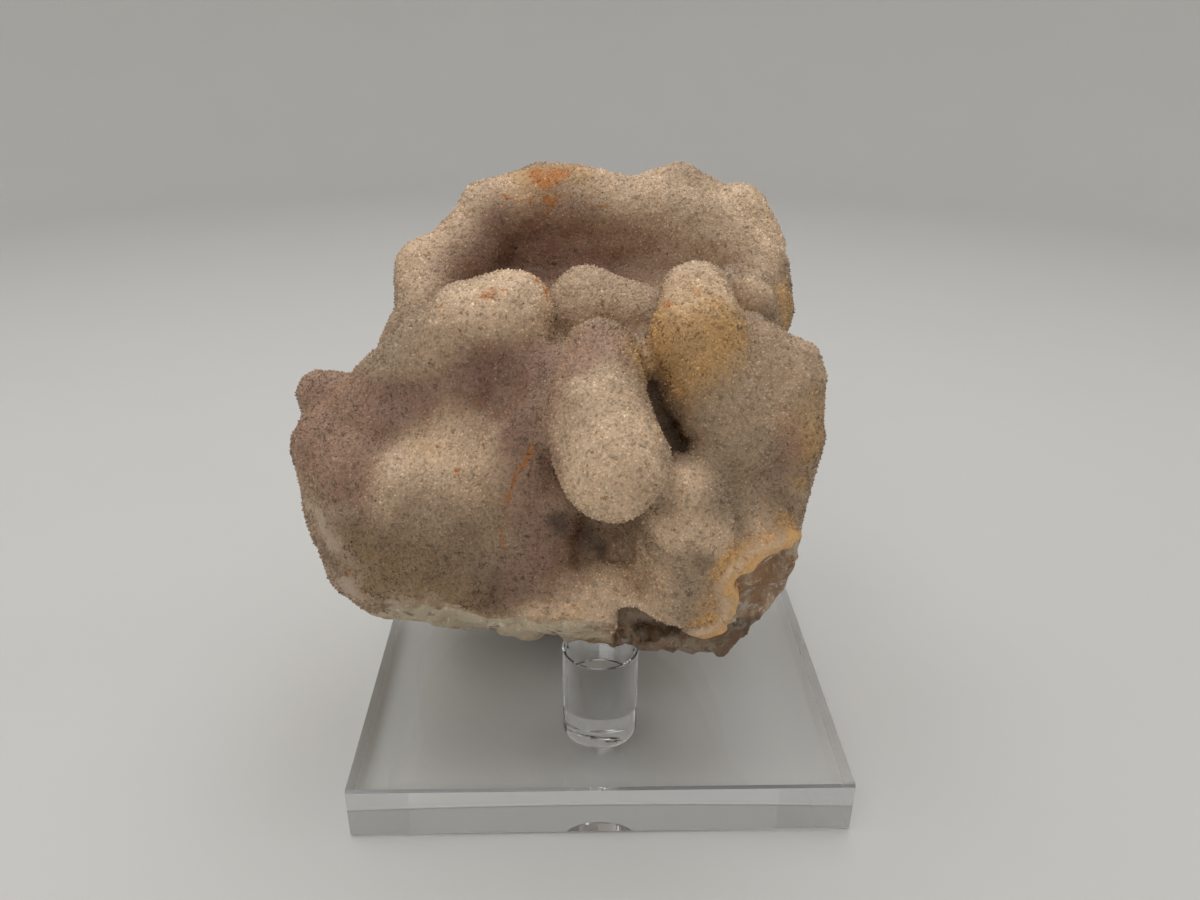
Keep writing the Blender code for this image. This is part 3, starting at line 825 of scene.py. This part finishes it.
def shape_skin(mesh, stone):
    """Lumps on the crust, facets on the broken rock, and the tints stored on the mesh."""
    points, normals = table(mesh.vertices, "co") / MM, table(mesh.vertices, "normal")
    x, y, z = points.T
    warp = Field(stone.seed)
    shift = 1.8 * np.stack([warp(points + 40 * k, 6.0) for k in range(3)], axis=1)
    rock, band = broken_share(points + 0.3 * shift, normals)
    layers = tint_shares(points + shift, warp)
    rock = np.maximum(rock, ramp(spot_weight(points + 0.5 * shift, ROCK_SPOTS), 0.4, 0.62))
    notch = in_notch(points, 0.4) & (y > NOTCH_BACK - 3.0) & (y < NOTCH_BACK + 0.5)
    inside = pocket_depth(points)
    front = 1 - ramp(y, -26, -22)
    rim = ramp(inside + 0.8 * warp(points, 3.0), -5.0, -2.5) * (inside < 0)
    rim *= 1 - ramp(y + 2 * warp(points + 15, 4.0), -34, -29)
    low = (1 - ramp(z, 38, 39.5)) * ramp(x, 5, 8) * front
    pocket = ramp(inside, -0.3, 0.5) * front
    rock = np.maximum.reduce([rock * (1 - rim), notch, low, pocket])
    rim *= 1 - rock
    iron = rim * ramp(inside, -3.6, -1.2)
    layers["orange"] = np.maximum(layers["orange"] * (1 - 0.8 * rim), iron)
    layers["cream_and_painted_light"] = np.maximum(layers["cream_and_painted_light"], rim * ramp(-inside, 1.5, 3.5))
    layers["olive"] *= 1 - rim
    # Painted shade on the host rock: the downward-facing low band and the notch's inner face.
    dark = np.clip(0.75 * low + 0.5 * notch, 0, 1)
    away = distance_to_line(points + 0.35 * shift, SEAM) / (0.9 + 0.5 * warp(points, 4.0))
    seam = np.exp(-(away**2)) * ramp(warp(points + 90, 3.0), -0.8, 0.0)
    rusty = 0.15 + 0.6 * ramp(z, 52, 68)
    layers["rust"] = 1 - (1 - layers["rust"]) * (1 - rusty * seam)
    layers["shadow"] = 1 - (1 - layers["shadow"]) * (1 - 0.3 * (1 - rusty) * seam)
    band *= (1 - rock) * (1 - rim) * ramp(warp(points + 60, 6.0), -0.5, 0.3)

    lumps = 0.5 * warp(points, 5.2) + 0.3 * warp(points + 20, 2.4) + 0.25 * warp(points + 10, 1.2)
    facets, tone = rock_facets(points, np.random.default_rng(stone.seed))
    roll = 0.9 * MM * np.exp(-((inside + 2.2) ** 2) / 2.5) * rim
    rise = (1 - rock) * (lumps * stone.lump_height - stone.inset) - 0.4 * MM * seam
    rise += rock * (facets * stone.facet_height - 0.4 * MM) + roll
    bare = rock * 1.2 + band * 0.9 + rim + ramp(layers["pale"], 0.3, 0.6) * 0.8
    druse = 1 - ramp(np.clip(bare, 0, 1), 0.3, 0.8)
    left = ramp(-x, -6, 8)
    layers.update(rock=rock, band=band, tone=tone, left=left, dark=dark, druse=druse)
    for name, share in layers.items():
        store(mesh, name, share)
    move_points(mesh, keep_in_box(points * MM + normals * rise[:, None]))
    store(mesh, "outward", table(mesh.vertices, "normal"))


def lay_box_uv(mesh):
    """A six-sided layout for the skin, each side in its own cell."""
    normals = table(mesh.polygons, "normal")
    axis = np.abs(normals).argmax(axis=1)
    side = axis * 2 + (np.take_along_axis(normals, axis[:, None], 1)[:, 0] > 0)
    totals = np.empty(len(mesh.polygons), np.int32)
    mesh.polygons.foreach_get("loop_total", totals)
    side, axis = np.repeat(side, totals), np.repeat(axis, totals)
    corners = np.empty(len(mesh.loops), np.int32)
    mesh.loops.foreach_get("vertex_index", corners)
    points = table(mesh.vertices, "co")
    share = ((points - points.min(0)) / (points.max(0) - points.min(0)))[corners]
    flat = np.take_along_axis(share, np.array([(1, 2), (0, 2), (0, 1)])[axis], 1)
    cell = np.stack([side % 3, side // 3], axis=1)
    uv = (cell + 0.02 + 0.96 * flat) / (3, 2)
    mesh.uv_layers.new(name="OFBake").data.foreach_set("uv", uv.astype(np.float32).ravel())


class SPECIMEN_OT_skin(bpy.types.Operator):
    """Build the stone's skin: rounded crust, broken rock and their tints"""

    bl_idname = "specimen.skin"
    bl_label = "Stone skin"

    def execute(self, context):
        stone = context.scene.quartz_stone
        mesh = rough_skin(stone.voxel)
        mesh.name = "quartz_skin"
        shape_skin(mesh, stone)
        lay_box_uv(mesh)
        mesh.shade_smooth()
        skin = add_piece("quartz_skin", mesh, skin_material("drusy quartz skin"))
        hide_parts("quartz")
        print("skin", len(mesh.polygons) * 2, "triangles")
        return {"FINISHED"}


# ---- the crystals


def scatter_points(skin, spacing, seed):
    """Points over the crust, at least the spacing apart, with the skin's tints on them."""
    tree = bpy.data.node_groups.new("scatter", "GeometryNodeTree")
    tree.interface.new_socket("Geometry", in_out="INPUT", socket_type="NodeSocketGeometry")
    tree.interface.new_socket("Geometry", in_out="OUTPUT", socket_type="NodeSocketGeometry")
    start, end = tree.nodes.new("NodeGroupInput"), tree.nodes.new("NodeGroupOutput")
    spread = tree.nodes.new("GeometryNodeDistributePointsOnFaces")
    spread.distribute_method = "POISSON"
    share = tree.nodes.new("GeometryNodeInputNamedAttribute")
    share.data_type = "FLOAT"
    share.inputs["Name"].default_value = "druse"
    spread.inputs["Distance Min"].default_value = spacing
    spread.inputs["Density Max"].default_value = 1.3 / spacing**2
    spread.inputs["Seed"].default_value = seed
    to_mesh = tree.nodes.new("GeometryNodePointsToVertices")
    tree.links.new(start.outputs[0], spread.inputs["Mesh"])
    tree.links.new(share.outputs["Attribute"], spread.inputs["Density Factor"])
    tree.links.new(spread.outputs["Points"], to_mesh.inputs["Points"])
    tree.links.new(to_mesh.outputs["Mesh"], end.inputs[0])
    scatter = skin.modifiers.new("scatter", "NODES")
    scatter.node_group = tree
    points = evaluated_mesh(skin)
    skin.modifiers.remove(scatter)
    bpy.data.node_groups.remove(tree)
    return points


def unit(vectors):
    return vectors / np.linalg.norm(vectors, axis=1, keepdims=True)


def crystal_points(feet, outward, radius, height, sink, rng):
    """Four points for each three-faced tip: a ring round its foot and the point."""
    count = len(feet)
    axis = unit(outward + rng.normal(0, TIP_LEAN, (count, 3)))
    side = unit(np.cross(axis, unit(rng.normal(0, 1, (count, 3)))))
    across = np.cross(axis, side)
    turns = np.arange(3) * math.tau / 3
    uneven = radius[:, None] * rng.uniform(0.8, 1.25, (count, 3))
    ring = side[:, None] * np.cos(turns)[:, None] + across[:, None] * np.sin(turns)[:, None]
    ring = feet[:, None] - axis[:, None] * sink + ring * uneven[..., None]
    lean = rng.normal(0, TIP_SHIFT, (count, 2)) * radius[:, None]
    tips = feet + axis * height[:, None] + side * lean[:, :1] + across * lean[:, 1:]
    return np.concatenate([ring, tips[:, None]], axis=1)


def crystal_mesh(name, points):
    """One mesh of three-faced tips, each seen from above in a cell of its own in the layout."""
    count = len(points)
    sides = np.array([(k, (k + 1) % 3, 3) for k in range(3)])
    faces = (sides[None] + 4 * np.arange(count)[:, None, None]).reshape(-1, 3)
    mesh = bpy.data.meshes.new(name)
    mesh.vertices.add(count * 4)
    mesh.vertices.foreach_set("co", points.astype(np.float32).ravel())
    mesh.loops.add(len(faces) * 3)
    mesh.loops.foreach_set("vertex_index", faces.astype(np.int32).ravel())
    mesh.polygons.add(len(faces))
    mesh.polygons.foreach_set("loop_start", np.arange(0, len(faces) * 3, 3, dtype=np.int32))
    mesh.update(calc_edges=True)
    mesh.validate()
    per_row = math.ceil(math.sqrt(count))
    cell = np.stack([np.arange(count) % per_row, np.arange(count) // per_row], axis=1)
    turns = np.arange(4) * math.tau / 3
    corner = 0.5 + 0.42 * np.stack([np.cos(turns), np.sin(turns)], axis=1)
    face = np.array([(corner[k], corner[k + 1], (0.5, 0.5)) for k in range(3)])
    uv = (cell[:, None, None] + face[None]) / per_row
    mesh.uv_layers.new(name="OFBake").data.foreach_set("uv", uv.astype(np.float32).ravel())
    return mesh


class SPECIMEN_OT_druse(bpy.types.Operator):
    """Cover the crust with small quartz tips"""

    bl_idname = "specimen.druse"
    bl_label = "Quartz crystals"

    SHARES = 5

    def execute(self, context):
        stone = context.scene.quartz_stone
        skin = bpy.data.objects.get("quartz_skin")
        if skin is None:
            raise RuntimeError("build the stone skin before its crystals")
        found = scatter_points(skin, stone.crystal_spacing, stone.seed)
        rng = np.random.default_rng(stone.seed)
        feet = table(found.vertices, "co")
        outward = unit(table(found.attributes["outward"].data, "vector"))
        count = len(feet)
        # Painted shade: a few small crystals, more of them in patches, are coloured dark to stand
        # for the shaded pits between crystals.
        pitted = 0.006 + 0.05 * ramp(Field(stone.seed + 1)(feet / MM, 5.0), 0.2, 0.8)
        pits = rng.random(count) < pitted
        radius = stone.crystal_radius * rng.lognormal(0.0, 0.22, count).clip(0.6, 1.7)
        radius[pits] *= 0.6
        height = radius * rng.uniform(0.55, 1.05, count)
        points = crystal_points(feet, outward, radius, height, stone.crystal_sink, rng)
        points = keep_in_box(points)
        layers = {name: table(found.attributes[name].data, "value", 1) for name in TINTS}
        layers.update(pit=pits, grain=rng.random(count))
        material = crystal_material("quartz crystals")
        order = np.argsort(feet[:, 0], kind="stable")
        for turn, chosen in enumerate(np.array_split(order, self.SHARES)):
            chosen = chosen[np.argsort(feet[chosen, 2], kind="stable")]
            mesh = crystal_mesh(f"druse_{turn + 1}", points[chosen])
            for layer, share in layers.items():
                store(mesh, layer, np.repeat(share[chosen], 4))
            store(mesh, "tip", np.tile([0, 0, 0, 1], len(chosen)))
            piece = add_piece(mesh.name, mesh, material)
            print(piece.name, len(mesh.polygons), "triangles")
        bpy.data.meshes.remove(found)
        return {"FINISHED"}


# ---- the stand


def add_bubble(body, place, length, width, turn):
    """A thin drawn-out air bubble, its faces turned inward."""
    ball = bmesh.ops.create_icosphere(body, subdivisions=2, radius=1.0)["verts"]
    shape = Matrix.Translation(place) @ Matrix.Rotation(turn, 4, "Z")
    shape @= Matrix.Diagonal((length / 2, width / 2, BUBBLE_HEIGHT * MM, 1.0))
    bmesh.ops.transform(body, matrix=shape, verts=ball)
    faces = {face for vert in ball for face in vert.link_faces}
    bmesh.ops.reverse_faces(body, faces=list(faces))


def eased_slab(low, high, edge):
    """A block between two corners, its front and back edges scraped to a narrow slant."""
    body = bmesh.new()
    size, middle = Vector(high) - Vector(low), (Vector(high) + Vector(low)) / 2
    shape = Matrix.Translation(middle) @ Matrix.Diagonal((*size, 1.0))
    bmesh.ops.create_cube(body, size=1.0, matrix=shape)
    across = [rim for rim in body.edges if abs(rim.verts[0].co.x - rim.verts[1].co.x) > edge]
    bmesh.ops.bevel(body, geom=across, offset=edge, segments=1, affect="EDGES")
    return mesh_from(body, "slab")


def cemented_mesh(low, top, edge):
    """The slab and the rod as one clear body, the rod's foot set into the slab."""
    body = bmesh.new()
    body.from_mesh(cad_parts["acrylic_rod"].data)
    for vert in body.verts:
        if vert.co.z < low[2] + 0.1 * MM:
            vert.co.z = top - CEMENT_DEPTH
    rod = add_object("rod", mesh_from(body, "rod"))
    slab = add_object("slab", eased_slab(*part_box("acrylic_slab"), edge))
    join = slab.modifiers.new("cemented", "BOOLEAN")
    join.operation = "UNION"
    join.solver = "EXACT"
    join.object = rod
    mesh = evaluated_mesh(slab)
    for part in (rod, slab):
        bpy.data.objects.remove(part, do_unlink=True)
    return mesh


class SPECIMEN_OT_stand(bpy.types.Operator):
    """Build the clear slab and rod as they are cemented together, with bubbles in the joint"""

    bl_idname = "specimen.stand"
    bl_label = "Clear stand"

    def execute(self, context):
        look = context.scene.quartz_stand
        low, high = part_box("acrylic_rod")
        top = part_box("acrylic_slab")[1][2]
        mesh = cemented_mesh(low, top, look.edge)
        body = bmesh.new()
        body.from_mesh(mesh)
        middle = (Vector(low) + Vector(high)) / 2
        for x, y, length, width, turn in BUBBLES:
            place = (middle.x + x * MM, middle.y + y * MM, top + 0.05 * MM)
            add_bubble(body, place, length * MM, width * MM, math.radians(turn))
        body.to_mesh(mesh)
        body.free()
        mesh.name = "clear_stand"
        polished = acrylic_material("clear acrylic", look.roughness)
        piece = add_piece("clear_stand", mesh, polished)
        sawn = acrylic_material("sawn acrylic edge", look.edge_roughness, look.edge_clearness)
        mesh.materials.append(sawn)
        for face in mesh.polygons:
            face.material_index = int(abs(face.normal.z) < 0.9 and face.center.z < top)
        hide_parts("acrylic_slab", "acrylic_rod")
        return {"FINISHED"}


# ---- the stage

CAMERA_PLACE = (-0.005486, -0.193486, 0.155314)
CAMERA_RIGHT = (0.99962, -0.02592, 0.00959)
CAMERA_UP = (0.00260, 0.43360, 0.90110)
CAMERA_LENS, CAMERA_SENSOR = 28.836, 36.0
FOOT_CURVE, FLAT_MIDDLE, SWEEP_SIDES = 0.22, 0.25, 96
SKY_COLOUR = (1.0, 0.995, 0.985, 1.0)


def add_softbox(name, power, place, target, size):
    lamp = bpy.data.lights.new(name, "AREA")
    lamp.energy = power
    lamp.shape = "RECTANGLE"
    lamp.size, lamp.size_y = size
    box = add_object(name, lamp)
    box.location = place
    aim = Vector(target) - Vector(place)
    box.rotation_euler = aim.to_track_quat("-Z", "Y").to_euler()


def sweep_mesh(radius, wall_height):
    """A round paper sweep: flat floor, curved foot and upright wall."""
    foot = radius - FOOT_CURVE
    profile = [(FLAT_MIDDLE, 0.0), (foot, 0.0)]
    for turn in np.arange(1, 13) / 12 * math.pi / 2:
        rise = FOOT_CURVE * (1 - math.cos(turn))
        profile.append((foot + FOOT_CURVE * math.sin(turn), rise))
    profile.append((radius, wall_height))
    body = bmesh.new()
    rings = [
        [
            body.verts.new((reach * math.cos(turn), reach * math.sin(turn), height - 0.05 * MM))
            for turn in np.arange(SWEEP_SIDES) * math.tau / SWEEP_SIDES
        ]
        for reach, height in profile
    ]
    body.faces.new(rings[0])
    for inner, outer in zip(rings, rings[1:]):
        for k in range(SWEEP_SIDES):
            after = (k + 1) % SWEEP_SIDES
            body.faces.new((inner[k], outer[k], outer[after], inner[after]))
    mesh = mesh_from(body, "paper_sweep")
    mesh.shade_smooth()
    return mesh


class SPECIMEN_OT_stage(bpy.types.Operator):
    """Lay the pale paper sweep, hang the soft lights and set the camera"""

    bl_idname = "specimen.stage"
    bl_label = "Photo stage"

    def execute(self, context):
        stage = context.scene.quartz_stage
        mesh = sweep_mesh(stage.sweep_radius, stage.wall_height)
        mesh.materials.append(paper_material("pale paper", stage.paper))
        add_object("paper_sweep", mesh)
        for name, power, place, aim, size in (
            ("top_softbox", stage.top_light, (-0.03, 0.13, 0.6), 0.05, (0.7, 0.5)),
            ("left_softbox", stage.side_light, (-0.6, -0.05, 0.3), 0.02, (0.5, 0.4)),
            ("right_softbox", stage.side_light, (0.6, -0.05, 0.3), 0.02, (0.5, 0.4)),
            ("front_softbox", stage.front_light, (-0.2, -0.6, 0.62), 0.06, (0.5, 0.4)),
        ):
            add_softbox(name, power, place, (0, 0, aim), size)
        world = bpy.data.worlds.new("even light")
        world.use_nodes = True
        sky = world.node_tree.nodes["Background"]
        sky.inputs["Color"].default_value = SKY_COLOUR
        sky.inputs["Strength"].default_value = stage.sky
        context.scene.world = world
        context.scene.view_settings.view_transform = "Standard"
        light_paths = context.scene.cycles
        light_paths.blur_glossy = 0.0  # blurred light paths would darken the floor under the slab
        light_paths.max_bounces = light_paths.transmission_bounces = 10
        light_paths.glossy_bounces = 6
        self.add_camera(context)
        return {"FINISHED"}

    def add_camera(self, context):
        lens = bpy.data.cameras.new("photo_camera")
        lens.lens = CAMERA_LENS
        lens.sensor_width = CAMERA_SENSOR
        lens.clip_start = 0.01
        camera = add_object("photo_camera", lens)
        right, up = Vector(CAMERA_RIGHT), Vector(CAMERA_UP)
        turn = Matrix((right, up, right.cross(up))).transposed().to_4x4()
        camera.matrix_world = Matrix.Translation(CAMERA_PLACE) @ turn
        context.scene.camera = camera


# ---- the add-on


STEPS = (SPECIMEN_OT_stage, SPECIMEN_OT_stand, SPECIMEN_OT_skin, SPECIMEN_OT_druse)
SETTINGS = {
    "quartz_colours": QuartzColours,
    "quartz_stone": QuartzStone,
    "quartz_stand": QuartzStand,
    "quartz_stage": QuartzStage,
}


class SPECIMEN_PT_panel(bpy.types.Panel):
    """Lists the build steps and the sizes and colours they read"""

    bl_idname = "SPECIMEN_PT_panel"
    bl_label = "Drusy quartz specimen"
    bl_space_type = "VIEW_3D"
    bl_region_type = "UI"
    bl_category = "Specimen"

    def draw(self, context):
        for step in STEPS:
            self.layout.operator(step.bl_idname)
        for key, group in SETTINGS.items():
            box = self.layout.box()
            for name in group.__annotations__:
                box.prop(getattr(context.scene, key), name)


def register():
    for group in SETTINGS.values():
        bpy.utils.register_class(group)
    for cls in (*STEPS, SPECIMEN_PT_panel):
        bpy.utils.register_class(cls)
    for key, group in SETTINGS.items():
        setattr(bpy.types.Scene, key, PointerProperty(type=group))


def unregister():
    for key in SETTINGS:
        delattr(bpy.types.Scene, key)
    for cls in (SPECIMEN_PT_panel, *reversed(STEPS), *reversed(SETTINGS.values())):
        bpy.utils.unregister_class(cls)


def main():
    register()
    bpy.ops.specimen.stage()
    bpy.ops.specimen.stand()
    bpy.ops.specimen.skin()
    bpy.ops.specimen.druse()


if __name__ == "__main__":
    main()
